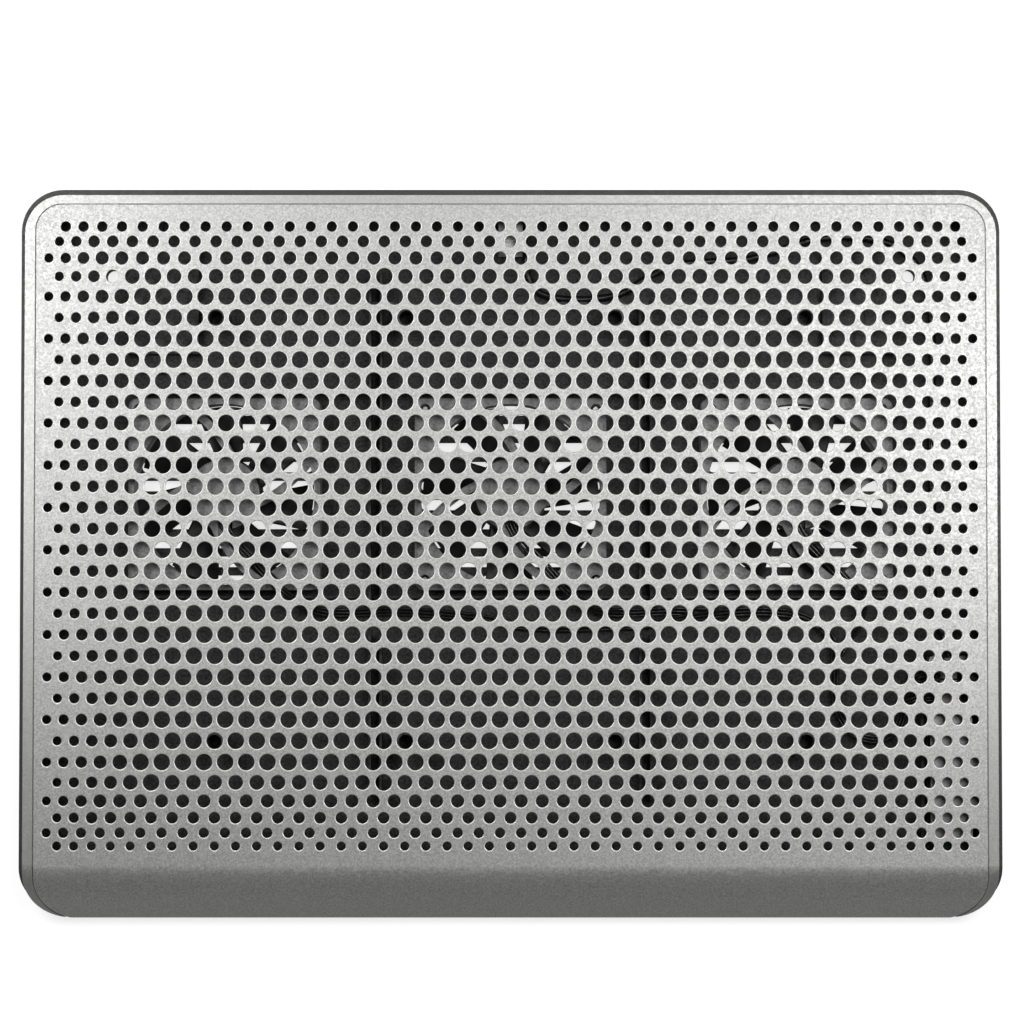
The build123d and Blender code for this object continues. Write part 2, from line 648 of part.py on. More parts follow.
# ================================================================ wires
def smooth_path(points, name):
    """Straight runs joined by the largest arcs that they leave room for."""
    radii = []
    for before, corner, after in zip(points, points[1:], points[2:]):
        arriving = Vector(*corner) - Vector(*before)
        leaving = Vector(*after) - Vector(*corner)
        half_turn = math.radians(arriving.get_angle(leaving)) / 2
        radii.append(0.45 * min(arriving.length, leaving.length) / math.tan(half_turn))
    print(name, "radii", [round(r, 1) for r in radii])
    return FilletPolyline(*points, radius=radii)


def side_step(points, distance):
    """The same route, moved sideways in plan by a distance."""
    moved = []
    for i, point in enumerate(points):
        before = Vector(*points[max(i - 1, 0)])
        after = Vector(*points[min(i + 1, len(points) - 1)])
        along = after - before
        across = Vector(-along.Y, along.X, 0).normalized()
        moved.append(tuple(Vector(*point) + across * distance))
    return moved


def wire_along(points, radius, name):
    """A round wire along a route."""
    path = smooth_path(points, name)
    section = Plane(path @ 0, z_dir=path % 0) * Circle(radius)
    wire = sweep(section, path=path)
    print(name, "length", round(path.length, 1), "volume ratio",
          round(wire.volume / (math.pi * radius ** 2 * path.length), 3))
    return wire


def lead_start(fan_x):
    """The route of the leads from the motor board to the outside of the fan."""
    top = FLOOR_TOP + FAN_HEIGHT - 1.2
    return [
        (fan_x - 0.3, FAN_Y - 12.3, top),
        (fan_x + 1.9, FAN_Y - 17.0, top),
        (fan_x + 6.4, FAN_Y - 21.6, top),
        (fan_x + 11.6, FAN_Y - 26.9, top),
        (fan_x + 17.6, FAN_Y - 33.6, top),
        (fan_x + 24.4, FAN_Y - 40.8, top),
    ]


def bundle_end(layer):
    """The route of a lead in the bundle that goes to the socket board; the leads lie in layers."""
    z = FLOOR_TOP + 1.4 + LAYER * layer
    y = CONNECTOR_Y[2 - layer]
    return [
        (136.4, -45.0, z),
        (135.8, -56.0, z),
        (137.6, -67.0, z),
        (144.0, -76.0, z),
        (154.4, -78.6, z),
        (163.2, -73.2, z),
        (165.4, -62.4, z + 0.6),
        (168.6, y - 1.6, 11.6),
        (173.6, y + 0.2, 13.2),
        (CONNECTOR_X - 0.1, y, 13.2),
    ]


LEAD_ROUTES = {
    "right": lead_start(FAN_X) + [
        (147.8, -20.8, 15.0), (146.6, -28.6, 9.4), (141.4, -37.2, 6.0)] + bundle_end(0),
    "centre": lead_start(0.0) + [
        (30.6, -20.8, 14.6), (39.0, -24.2, 9.2), (49.0, -24.8, 6.2), (64.0, -23.8, 6.0), (84.0, -24.6, 6.0),
        (104.0, -23.8, 6.2), (120.0, -25.0, 7.4), (131.6, -30.6, 7.4), (136.2, -38.0, 7.4)] + bundle_end(1),
    "left": lead_start(-FAN_X) + [
        (-89.0, -20.8, 14.6), (-80.6, -24.2, 9.2), (-70.0, -24.8, 6.2), (-52.0, -23.8, 6.0),
        (-32.0, -24.8, 6.0), (-14.0, -26.6, 6.0), (2.0, -30.0, 6.0), (20.0, -31.0, 6.0),
        (40.0, -30.4, 6.0), (60.0, -29.4, 6.2),
        (76.0, -26.6, 7.8), (90.0, -24.6, 8.8), (104.0, -23.8, 8.9), (120.0, -25.0, 8.9), (131.6, -30.6, 8.9),
        (136.2, -38.0, 8.9)] + bundle_end(2),
}
POWER_ROUTE = [
    (4.2, 137.8, 7.2), (6.8, 129.0, 7.0), (6.6, 119.0, 6.6), (10.4, 110.6, 6.4), (20.0, 107.9, 6.4),
    (34.0, 107.6, 6.4), (47.0, 109.6, 6.4), (57.0, 116.6, 6.4), (68.0, 122.4, 6.4), (84.0, 123.8, 6.4),
    (100.0, 124.2, 6.4), (114.0, 128.6, 6.4), (128.0, 133.4, 6.4), (146.0, 134.4, 6.4), (162.0, 131.4, 6.4),
    (172.6, 122.6, 6.4), (177.6, 106.0, 6.4), (178.4, 80.0, 6.4), (177.0, 46.0, 6.4), (178.2, 12.0, 6.4),
    (177.6, -12.0, 6.6), (179.0, -26.0, 8.6), (182.0, -35.0, 12.0), (184.0, CONNECTOR_Y[3] + 3.8, 13.0),
]


def make_leads(side):
    """Three wires side by side, from a fan to the socket board."""
    route = LEAD_ROUTES[side]
    wires = [wire_along(side_step(route, step * WIRE_PITCH), WIRE_R, f"{side} lead") for step in (-1, 0, 1)]
    return Compound(children=[w.solids()[0] for w in wires])


# ================================================================ socket board
def make_io_board():
    """Circuit board that carries the sockets and the switch."""
    board = block(*BOARD_X, *BOARD_Y, BOARD_Z, BOARD_Z + BOARD_THICK)
    for x, y in BOARD_HOLES:
        board -= rod(x, y, BOARD_Z - 1, BOARD_Z + 3, 1.3)
    return board


def make_hub_shield():
    """Tinplate can over the sockets' inner ends, open towards the wall."""
    z0 = BOARD_Z + BOARD_THICK
    x0 = BOARD_X[0] + 0.5
    can = block(x0, BOARD_X[1], *SHIELD_Y, z0, SHIELD_Z)
    y0 = SHIELD_Y[0] + SHEET
    y1 = SHIELD_Y[1] - SHEET
    inside = block(x0 + SHEET, BOARD_X[1] + 1, y0, y1, z0 - 1, SHIELD_Z - SHEET)
    return can - inside


def make_usb_shell(y):
    """Bent sheet shell of one USB-A socket."""
    z0 = BOARD_Z + BOARD_THICK
    shell = block(*USB_X, y - USB_WIDTH / 2, y + USB_WIDTH / 2, z0, z0 + USB_HEIGHT)
    shell = fillet(shell.edges().filter_by(Axis.X), 0.5)
    half = USB_WIDTH / 2 - USB_SHEET
    z1 = z0 + USB_HEIGHT
    inside = block(USB_X[0] + 1.5, USB_X[1] + 1, y - half, y + half, z0 + USB_SHEET, z1 - USB_SHEET)
    return shell - inside


def make_usb_tongues():
    """Contact carriers inside the two sockets."""
    z0 = BOARD_Z + BOARD_THICK
    tongues = Part()
    for y in USB_Y:
        back = block(USB_X[0] + 1.5, USB_X[0] + 4.5, y - 6.1, y + 6.1, z0 + 0.5, z0 + USB_HEIGHT - 0.5)
        tongues += back + block(USB_X[0] + 4, USB_X[1] - 1.6, y - 5.6, y + 5.6, z0 + 2.9, z0 + 4.7)
    return tongues


def make_switch_body():
    """Slide switch on the socket board."""
    z0 = BOARD_Z + BOARD_THICK
    body = block(189.0, 200.4, SWITCH_Y - 6.4, SWITCH_Y + 6.4, z0, z0 + 5.2)
    return body - block(197.5, 201, SWITCH_Y - 3.6, SWITCH_Y + 3.6, 11.2, 13.8)


def make_switch_slider():
    """Thumb piece of the switch, at its off end."""
    y = SWITCH_Y - SWITCH_TRAVEL / 2
    face = SWITCH_FACE_X + 0.1
    knob = block(face, face + 1.0, y - 2.1, y + 2.1, 10.2, 14.8)
    stem = block(197.9, face + 0.1, y - 1.6, y + 1.6, 11.5, 13.5)
    for i in range(3):
        groove_y = y - 1.2 + i
        knob -= block(face + 0.7, face + 1.3, groove_y - 0.2, groove_y + 0.2, 10, 15)
    return knob + stem


def make_connectors():
    """Header housings of the three fan leads, and of the power cable at the board's rear edge."""
    z0 = BOARD_Z + BOARD_THICK
    row = Part()
    for y in CONNECTOR_Y[:3]:
        row += block(CONNECTOR_X, CONNECTOR_X + 6.5, y - 2.2, y + 2.2, z0, z0 + 5.4)
    y = CONNECTOR_Y[3]
    return row + block(CONNECTOR_X + 1.6, CONNECTOR_X + 6.4, y + 0.4, y + 3.4, z0, z0 + 5.4)


def make_light():
    """Power light: a small lamp body on the board's front edge."""
    z0 = BOARD_Z + BOARD_THICK
    return block(LED_X - 1.6, LED_X + 1.6, BOARD_Y[0] - 1.2, BOARD_Y[0] + 1.4, z0, z0 + 1.8)


def make_light_pipe():
    """Clear rod from inside the case to the lip."""
    return led_bore(LIGHT_PIPE_R, 12) - led_bore(LIGHT_PIPE_R + 1, 0.15)


# ================================================================ power inlet
def make_inlet_body():
    """Moulded housing of the power inlet, with a foot under its screw."""
    z0 = FLOOR_TOP + 1.05
    body = block(-INLET_WIDTH / 2, INLET_WIDTH / 2, *INLET_Y, z0, z0 + INLET_HEIGHT)
    bore = Pos(0, INLET_Y[1], z0 + INLET_HEIGHT / 2) * Rot(90, 0, 0) * Cylinder(INLET_BORE_R, 22)
    return body - bore


def make_inlet_clamp():
    """Small bracket that the screw holds down over the housing's heel."""
    z0 = FLOOR_TOP + 9
    strap = block(-5, 5, INLET_SCREW_Y - 5.5, INLET_Y[0] + 3, z0 + 1.1, z0 + 2.3)
    pad = rod(0, INLET_SCREW_Y, z0, z0 + 1.1, 4.0)
    return strap + pad - rod(0, INLET_SCREW_Y, z0 - 1, z0 + 5, 1.6)


def make_inlet_pin():
    """Centre contact of the power inlet."""
    z0 = FLOOR_TOP + 1.05 + INLET_HEIGHT / 2
    pin = Cylinder(0.65, 8.0) + Pos(0, 0, 3) * Cylinder(INLET_BORE_R, 2.0)
    return Pos(0, INLET_Y[1] - 7.0, z0) * Rot(90, 0, 0) * pin


# ================================================================ legs and feet
def leg_axis(side):
    """Where a leg turns, with the local Z axis along its pin."""
    return Pos(side * LEG_X, LEG_AXIS_Y, LEG_AXIS_Z) * Rot(0, 90, 0)


def make_leg(side):
    """Folding leg with a round barrel on its pin, stored flat under the tray."""
    x0 = side * LEG_X - LEG_WIDTH / 2
    x1 = side * LEG_X + LEG_WIDTH / 2
    half = LEG_THICK / 2
    y, z = LEG_AXIS_Y - LEG_LENGTH, LEG_AXIS_Z
    barrel = leg_axis(side) * Cylinder(half, LEG_WIDTH)
    arm = block(x0, x1, y + 4, LEG_AXIS_Y, z - half, z + half)
    tongue = block(x0 + 3, x1 - 3, y + 1.5, y + 5, z - TONGUE_HALF, z + TONGUE_HALF)
    relief = block(x0 + 4, x1 - 4, y + 9, LEG_AXIS_Y - 6, 0, z - half + 1.4)
    bore = leg_axis(side) * Cylinder(LEG_PIN_R + LEG_PLAY, LEG_WIDTH + 2)
    return barrel + arm + tongue - relief - bore


def make_leg_pin(side):
    """Steel hinge pin, pressed into the pocket's walls."""
    length = LEG_WIDTH + 2 * LEG_GAP + 2 * POCKET_WALL - 0.2
    return leg_axis(side) * Cylinder(LEG_PIN_R, length)


def make_leg_tip(side):
    """Rubber shoe on the end of a leg."""
    x0 = side * LEG_X - LEG_WIDTH / 2
    x1 = side * LEG_X + LEG_WIDTH / 2
    y = LEG_AXIS_Y - LEG_LENGTH
    half = LEG_THICK / 2
    shoe = block(x0, x1, y, y + 4, LEG_AXIS_Z - half, LEG_AXIS_Z + half)
    shoe = fillet(shoe.edges().filter_by(Axis.X).group_by(Axis.Y)[0], 1.8)
    slot = block(x0 + 3, x1 - 3, y + 1.5, y + 5, LEG_AXIS_Z - TONGUE_HALF, LEG_AXIS_Z + TONGUE_HALF)
    return shoe - slot


def make_feet(y):
    """One row of rubber feet, set in shallow recesses."""
    feet = prism(foot_outline(y), 0, FOOT_HEIGHT + FOOT_RECESS)
    return chamfer(feet.edges().group_by(Axis.Z)[0], 0.6)


# ================================================================ screws
def screw_group(places, z, screw):
    """Copies of one screw at several places."""
    return Compound(children=[(Pos(x, y, z) * screw).solids()[0] for x, y in places])


def make_case_screws():
    return screw_group(case_screw_places(), FOOT_HEIGHT + 0.3, phillips_screw(2.7, 2.2, 1.25, 14.0))


def make_fan_screws():
    return screw_group(fan_screw_places(), FOOT_HEIGHT + 0.1, phillips_screw(3.1, 1.1, 1.8, 13.0))


def make_board_screws():
    screw = Rot(180, 0, 0) * phillips_screw(2.2, 1.2, 0.9, 5.0)
    return screw_group(BOARD_HOLES, BOARD_Z + BOARD_THICK + 1.2, screw)


def make_inlet_screw():
    screw = Rot(180, 0, 0) * phillips_screw(3.0, 1.6, 1.1, 9.0)
    return Pos(0, INLET_SCREW_Y, FLOOR_TOP + 9 + 2.3 + 1.6) * screw


# ================================================================ all nodes
def build_nodes():
    """Every node of the pad by name."""
    nodes = {
        "top_plate": make_top_plate(),
        "front_lip": make_front_lip(),
        "top_frame": make_top_frame(),
        "shell_walls": make_shell_walls(),
        "shell_floor": make_shell_floor(),
        "shell_posts": make_shell_posts(),
        "shell_ribs": make_shell_ribs(),
        "io_board": make_io_board(),
        "hub_shield": make_hub_shield(),
        "usb_tongues": make_usb_tongues(),
        "switch_body": make_switch_body(),
        "switch_slider": make_switch_slider(),
        "lead_connectors": make_connectors(),
        "power_light": make_light(),
        "light_pipe": make_light_pipe(),
        "inlet_body": make_inlet_body(),
        "inlet_clamp": make_inlet_clamp(),
        "inlet_pin": make_inlet_pin(),
        "power_cable": wire_along(POWER_ROUTE, POWER_CABLE_R, "power cable"),
        "feet_front": make_feet(FOOT_FRONT_Y),
        "feet_rear": make_feet(FOOT_REAR_Y),
        "case_screws": make_case_screws(),
        "fan_screws": make_fan_screws(),
        "board_screws": make_board_screws(),
        "inlet_screw": make_inlet_screw(),
    }
    for name, y in zip(("front", "rear"), USB_Y):
        nodes[f"usb_shell_{name}"] = make_usb_shell(y)
    for name, side in (("left", -1), ("right", 1)):
        nodes[f"leg_{name}"] = make_leg(side)
        nodes[f"leg_pin_{name}"] = make_leg_pin(side)
        nodes[f"leg_tip_{name}"] = make_leg_tip(side)
    fan_parts = {
        "frame": make_fan_frame(),
        "rotor": make_rotor(),
        "magnet": make_magnet(),
        "shaft": make_shaft(),
        "bearing": make_bearing(),
        "stator": make_stator(),
        "windings": make_windings(),
        "board": make_fan_board(),
    }
    for side, x in FAN_CENTRES.items():
        for part, shape in fan_parts.items():
            turn = ROTOR_REST[side] if part == "rotor" else 0
            nodes[f"fan_{part}_{side}"] = Pos(x, FAN_Y, FLOOR_TOP) * Rot(0, 0, turn) * shape
        nodes[f"fan_leads_{side}"] = make_leads(side)
    return nodes


os.makedirs("parts", exist_ok=True)
for node, shape in build_nodes().items():
    export_step(shape, f"parts/{node}.step")
    print(node, len(shape.solids()), "solids, volume", round(shape.volume))
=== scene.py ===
import bpy
import math
import numpy as np
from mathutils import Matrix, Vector
from mathutils.geometry import delaunay_2d_cdt


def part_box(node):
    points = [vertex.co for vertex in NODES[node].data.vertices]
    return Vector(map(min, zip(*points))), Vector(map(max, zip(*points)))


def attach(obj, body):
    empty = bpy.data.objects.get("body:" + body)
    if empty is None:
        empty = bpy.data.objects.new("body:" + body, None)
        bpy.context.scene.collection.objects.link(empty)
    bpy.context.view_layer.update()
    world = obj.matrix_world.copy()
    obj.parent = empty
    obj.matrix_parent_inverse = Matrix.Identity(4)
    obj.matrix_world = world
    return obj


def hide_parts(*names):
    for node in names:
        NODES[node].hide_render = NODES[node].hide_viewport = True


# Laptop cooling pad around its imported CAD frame. Lengths are in millimetres, and MM turns them into Blender's
# metres; only the lights' places and sizes are in metres. +X right, +Y to the rear, +Z up.

MM = 0.001
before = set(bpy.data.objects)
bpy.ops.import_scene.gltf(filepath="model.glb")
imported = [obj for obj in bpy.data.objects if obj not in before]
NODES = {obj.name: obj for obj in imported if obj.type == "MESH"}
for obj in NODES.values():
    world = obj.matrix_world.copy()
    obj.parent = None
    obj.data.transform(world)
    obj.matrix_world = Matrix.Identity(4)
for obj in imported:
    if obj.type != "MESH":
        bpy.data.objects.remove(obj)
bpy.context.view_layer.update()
SIDES = ("left", "centre", "right")


def high_corner(node):
    """The highest corner of a CAD node's box, in millimetres."""
    low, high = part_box(node)
    return Vector(high) / MM


# ---------------------------------------------------------------- sizes of the top plate
PLATE_HIGH = high_corner("top_plate")
TOP_Z = PLATE_HIGH.z
PLATE_HALF = PLATE_HIGH.x
PLATE_REAR = PLATE_HIGH.y
PLATE_THICK = 1.0
PLATE_REAR_R = 11.0         # radius of the rear corners
PLATE_FRONT_R = 19.4        # and of the front ones
PLATE_CORNER_END = -153.4   # Y where the front corners' arcs would end, just past the lip
ROLL_START_Y = -129.4       # the plate is flat behind this line and rolls down in front of it
ROLL_RADIUS = 23.6
ROLL_ANGLE = math.radians(77.0)
EDGE_ROUND = 0.3            # width of the rounding of the sheet's outline
HOLE_ROUND = 0.42           # and of the rounding that the punch leaves round a hole
RIM_SLOPE = 0.45            # how deep a rounding is, as a share of its width
RIM_TILT = math.radians(32.0)       # how far its normals lean at the foot
LIGHT_HOLE = (181.0, -151.0, 1.1)   # X, Y and radius of the power light's hole
LIGHT_ROUND = 0.15
LIGHT_CLEAR = 1.0           # the mesh of the lip keeps this far from the light's hole
LIP_ROWS = 14               # rows of points down the lip
LIP_COLUMN = 8.0            # and about how far apart they are across
CORNER_STEPS = 10
SAME_POINT = 1e-7           # points closer than this are one

# ---------------------------------------------------------------- perforation
COLUMN_PITCH = 8.765
ROW_PITCH = 8.8
HOLE_R = 3.45
HOLE_SHRINK = 0.888         # each step towards the edge is this much smaller
EDGE_STEPS = 5              # smaller and closer holes in this many steps
COLUMN_SQUEEZE = 0.0455     # across, the pitch closes up by this share for each step
COLUMN_EASE = 0.0266        # less this share, which is the same at each step
ROW_SQUEEZE = 0.083         # and the same two shares from front to rear
ROW_EASE = 0.038
HOLES_IN_LONG_ROW = 46
ROWS = 32
REAR_ROW_Y = 136.3
FULL_SIZE_ROWS = (3, 27)    # these rows have four holes of the full size
FULL_SIZE_COLUMNS = (5, 16)
HOLE_SEGMENTS = 18          # straight pieces of the edge of a hole of the full size
FEWEST_SEGMENTS = 12
LIGHT_SEGMENTS = 14

# ---------------------------------------------------------------- camera, lights and surroundings
VIEW_CENTRE = (0.6, 17.2, TOP_Z)    # what the camera looks at
VIEW_WIDTH = 425.5                  # how much it sees there
CAMERA_HEIGHT = 1350.0
CAMERA_FORWARD = 46.0               # the camera stands this far to the front
SENSOR = 36.0
SOFTBOXES = (               # name, place and size in metres, watts
    ("left", (-0.35, 0.10, 0.62), 0.16, 0.40),
    ("rear_left", (-0.35, 0.25, 0.62), 0.16, 0.85),
    ("right", (0.35, 0.10, 0.62), 0.16, 0.75),
    ("high_left", (-0.20, 0.15, 1.05), 0.25, 0.20),
    ("high_right", (0.20, 0.15, 1.05), 0.25, 1.20),
    ("high_rear", (0.20, 0.40, 1.05), 0.25, 0.57),
)
FLOOR_HALF = 6000.0
FLOOR_GLOW = 0.74
OVERHEAD = 0.01             # the studio's brightness above and behind the pad
IN_FRONT = 0.13             # and in front of it
LOW_AT_SIDES = 0.80         # and what is added low down at its sides


# ================================================================ node materials
NOISE_LOW = 0.3             # nearly all of a noise lies between these
NOISE_HIGH = 0.7


class Shader:
    """A principled material that is built up from procedural layers in the object's own coordinates."""

    def __init__(self, name, colour, metallic=0.0, roughness=0.5, **sockets):
        self.material = bpy.data.materials.new(name)
        self.material.use_nodes = True
        self.material.diffuse_color = (*colour, 1.0)
        self.tree = self.material.node_tree
        self.principled = self.tree.nodes["Principled BSDF"]
        self.colour = colour
        self.set("base color", (*colour, 1.0))
        self.set("metallic", metallic)
        self.set("roughness", roughness)
        for key, value in sockets.items():
            self.set(key.replace("_", " "), value)
        self.place = self.tree.nodes.new("ShaderNodeTexCoord").outputs["Object"]
        self.bump = None

    def set(self, socket, value):
        """Sets a socket of the principled shader, named in small letters."""
        found = next(i for i in self.principled.inputs if i.name.lower() == socket)
        found.default_value = value

    def link(self, source, target):
        """Joins an output to an input."""
        self.tree.links.new(source, target)

    def stretched(self, x, y, z):
        """The coordinates scaled differently on each axis, for a grain with a direction."""
        mapping = self.tree.nodes.new("ShaderNodeMapping")
        mapping.inputs["Scale"].default_value = (x, y, z)
        self.link(self.place, mapping.inputs["Vector"])
        return mapping.outputs["Vector"]

    def noise(self, size, detail=3.0, rough=0.5, place=None):
        """Fractal noise whose features are about size millimetres."""
        node = self.tree.nodes.new("ShaderNodeTexNoise")
        node.inputs["Scale"].default_value = 1.0 / (size * MM)
        node.inputs["Detail"].default_value = detail
        node.inputs["Roughness"].default_value = rough
        self.link(place or self.place, node.inputs["Vector"])
        return node.outputs["Fac"]

    def cells(self, size):
        """Cellular pattern whose cells are about size millimetres."""
        node = self.tree.nodes.new("ShaderNodeTexVoronoi")
        node.inputs["Scale"].default_value = 1.0 / (size * MM)
        self.link(self.place, node.inputs["Vector"])
        return node.outputs["Distance"]

    def spread(self, value, low, high):
        """The middle of a noise's range, where nearly all of it is, mapped to a range."""
        node = self.tree.nodes.new("ShaderNodeMapRange")
        limits = (("From Min", NOISE_LOW), ("From Max", NOISE_HIGH), ("To Min", low), ("To Max", high))
        for socket, number in limits:
            node.inputs[socket].default_value = number
        self.link(value, node.inputs["Value"])
        return node.outputs["Result"]

    def vary_colour(self, value, darkest, lightest):
        """Colour between a darker and a lighter tone of the base colour."""
        ramp = self.tree.nodes.new("ShaderNodeValToRGB")
        ends = zip(ramp.color_ramp.elements, (NOISE_LOW, NOISE_HIGH), (darkest, lightest))
        for element, position, factor in ends:
            element.color = (*(min(c * factor, 1.0) for c in self.colour), 1.0)
            element.position = position
        self.link(value, ramp.inputs["Fac"])
        self.link(ramp.outputs["Color"], self.principled.inputs["Base Color"])

    def vary_roughness(self, value, low, high):
        """Roughness between two numbers."""
        self.link(self.spread(value, low, high), self.principled.inputs["Roughness"])

    def add_bump(self, value, height, strength):
        """Relief of a height in millimetres; more calls add finer layers on it."""
        node = self.tree.nodes.new("ShaderNodeBump")
        node.inputs["Strength"].default_value = strength
        node.inputs["Distance"].default_value = height * MM
        self.link(value, node.inputs["Height"])
        if self.bump:
            self.link(self.bump, node.inputs["Normal"])
        self.bump = node.outputs["Normal"]
        self.link(self.bump, self.principled.inputs["Normal"])


def satin_aluminium(name, colour, roughness, grain):
    """Bead-blasted and anodised sheet: fine sparkle, faint tone changes."""
    s = Shader(name, colour, metallic=0.85, roughness=roughness)
    s.vary_colour(s.noise(0.75, detail=1.0, rough=0.6), 1.0 - grain, 1.0 + grain)
    s.vary_roughness(s.noise(1.1, detail=4.0), roughness - 0.06, roughness + 0.07)
    s.add_bump(s.noise(0.55, detail=4.0, rough=0.65), 0.03, 0.35)
    return s.material


def moulded_plastic(name, colour, roughness, texture=0.8, relief=0.06, grain=0.12):
    """Moulded ABS with a spark-eroded texture."""
    s = Shader(name, colour, roughness=roughness)
    s.vary_colour(s.noise(1.1, detail=2.0, rough=0.7), 1.0 - grain, 1.0 + grain)
    s.vary_roughness(s.noise(texture * 3, detail=3.0), roughness - 0.08, roughness + 0.1)
    s.add_bump(s.noise(texture, detail=4.0, rough=0.6), relief, 0.5)
    return s.material


def bare_metal(name, colour, roughness, brushed=(1.0, 1.0, 1.0), grain=0.5):
    """Bare metal with the marks of rolling or turning."""
    s = Shader(name, colour, metallic=1.0, roughness=roughness)
    lines = s.noise(grain, detail=5.0, rough=0.6, place=s.stretched(*brushed))
    s.vary_colour(lines, 0.86, 1.08)
    s.vary_roughness(lines, roughness - 0.07, roughness + 0.12)
    s.add_bump(lines, 0.02, 0.4)
    return s.material


def rubber_material():
    """Black rubber, dusty and finely pitted."""
    s = Shader("rubber", (0.018, 0.018, 0.019), roughness=0.78)
    s.vary_colour(s.noise(3.0, detail=5.0), 0.7, 1.6)
    s.vary_roughness(s.noise(2.0), 0.66, 0.86)
    s.add_bump(s.noise(0.35, detail=3.0), 0.05, 0.6)
    return s.material


def wire_material(name, colour, roughness):
    """Extruded PVC insulation: glossy, with a slightly uneven skin."""
    s = Shader(name, colour, roughness=roughness, specular_ior_level=1.0)
    s.vary_colour(s.noise(6.0, detail=3.0), 0.8, 1.25)
    s.vary_roughness(s.noise(2.5), roughness - 0.05, roughness + 0.12)
    s.add_bump(s.noise(1.2, detail=2.0), 0.03, 0.4)
    return s.material


def circuit_material():
    """Solder mask over a weave, with lighter tracks."""
    s = Shader("circuit", (0.006, 0.030, 0.016), roughness=0.35)
    s.vary_colour(s.cells(2.4), 0.6, 1.9)
    s.add_bump(s.noise(0.5, detail=3.0), 0.02, 0.4)
    s.vary_roughness(s.noise(1.5), 0.28, 0.5)
    return s.material


def winding_material():
    """Enamelled wire, wound in close turns."""
    s = Shader("copper_winding", (0.72, 0.30, 0.13), metallic=1.0, roughness=0.3)
    turns = s.noise(0.3, detail=2.0, place=s.stretched(0.4, 0.4, 3.0))
    s.vary_colour(turns, 0.6, 1.15)
    s.add_bump(turns, 0.12, 0.8)
    s.vary_roughness(turns, 0.22, 0.45)
    return s.material


def clear_material():
    """Clear acrylic with a faintly uneven surface."""
    s = Shader("clear_plastic", (0.82, 0.86, 0.88), roughness=0.12, transmission_weight=0.7, ior=1.49)
    s.vary_roughness(s.noise(0.8), 0.08, 0.25)
    s.add_bump(s.noise(0.6), 0.01, 0.3)
    return s.material


MATERIALS = {
    "plate": satin_aluminium("satin_plate", (0.60, 0.60, 0.59), 0.46, 0.21),
    # The holes' rounded rims get a far lighter metal than the plate: a painted highlight, the bright ring round
    # each hole.
    "rim": bare_metal("rim_painted_highlight", (0.92, 0.92, 0.90), 0.45, grain=0.8),
    "bezel": satin_aluminium("silver_paint", (0.56, 0.56, 0.55), 0.42, 0.10),
    "shell": moulded_plastic("dark_abs", (0.062, 0.062, 0.064), 0.5, grain=0.85),
    "outer_shell": moulded_plastic("outer_abs", (0.070, 0.070, 0.072), 0.45, grain=0.15),
    "fan_grey": moulded_plastic("fan_grey_plastic", (0.34, 0.34, 0.345), 0.45, 0.6, 0.03, grain=0.4),
    "fan_black": moulded_plastic("fan_black_plastic", (0.020, 0.020, 0.021), 0.42, 0.6, 0.03),
    "black": moulded_plastic("black_plastic", (0.022, 0.022, 0.023), 0.42, 0.5, 0.03),
    "white": moulded_plastic("white_nylon", (0.62, 0.60, 0.55), 0.45, 0.7, 0.03),
    "magnet": moulded_plastic("ferrite", (0.045, 0.042, 0.042), 0.6, 0.4, 0.04),
    "steel": bare_metal("turned_steel", (0.62, 0.62, 0.62), 0.25, (1.0, 1.0, 8.0)),
    "screw": bare_metal("zinc_plated_screw", (0.50, 0.50, 0.49), 0.33),
    "lamination": bare_metal("stacked_laminations", (0.42, 0.42, 0.43), 0.4, (0.3, 0.3, 4.0)),
    "bronze": bare_metal("sintered_bronze", (0.60, 0.42, 0.22), 0.45, grain=0.3),
    "tinplate": bare_metal("tinplate", (0.34, 0.34, 0.35), 0.38, (0.6, 1.0, 1.0), 3.0),
    "copper": winding_material(),
    "circuit": circuit_material(),
    "wire": wire_material("black_wire", (0.02, 0.02, 0.021), 0.2),
    "clear": clear_material(),
    "rubber": rubber_material(),
}

NODE_MATERIALS = {
    "top_frame": "bezel",
    "shell_walls": "outer_shell",
    "shell_floor": "shell",
    "shell_posts": "shell",
    "shell_ribs": "shell",
    "io_board": "circuit",
    "hub_shield": "tinplate",
    "usb_shell_front": "tinplate",
    "usb_shell_rear": "tinplate",
    "usb_tongues": "white",
    "switch_body": "black",
    "switch_slider": "black",
    "lead_connectors": "white",
    "power_light": "white",
    "light_pipe": "clear",
    "inlet_body": "black",
    "inlet_clamp": "tinplate",
    "inlet_pin": "steel",
    "power_cable": "wire",
    "feet_front": "rubber",
    "feet_rear": "rubber",
    "case_screws": "screw",
    "fan_screws": "screw",
    "board_screws": "screw",
    "inlet_screw": "screw",
    "leg_left": "outer_shell",
    "leg_right": "outer_shell",
    "leg_pin_left": "steel",
    "leg_pin_right": "steel",
    "leg_tip_left": "rubber",
    "leg_tip_right": "rubber",
}
FAN_MATERIALS = {
    "frame": "fan_grey",
    "rotor": "fan_black",
    "magnet": "magnet",
    "shaft": "steel",
    "bearing": "bronze",
    "stator": "lamination",
    "windings": "copper",
    "board": "circuit",
    "leads": "wire",
}
for part, finish in FAN_MATERIALS.items():
    for side in SIDES:
        NODE_MATERIALS[f"fan_{part}_{side}"] = finish


def dress(obj, *materials):
    """Gives an object its materials, in place of any it had."""
    obj.data.materials.clear()
    for material in materials:
        obj.data.materials.append(material)


SOFT_EDGES = {              # node and width of its rounded edges
    "shell_ribs": 0.25,
    "hub_shield": 0.15,
}
WELD_DISTANCE = 0.01
SHARP_ANGLE = math.radians(40.0)


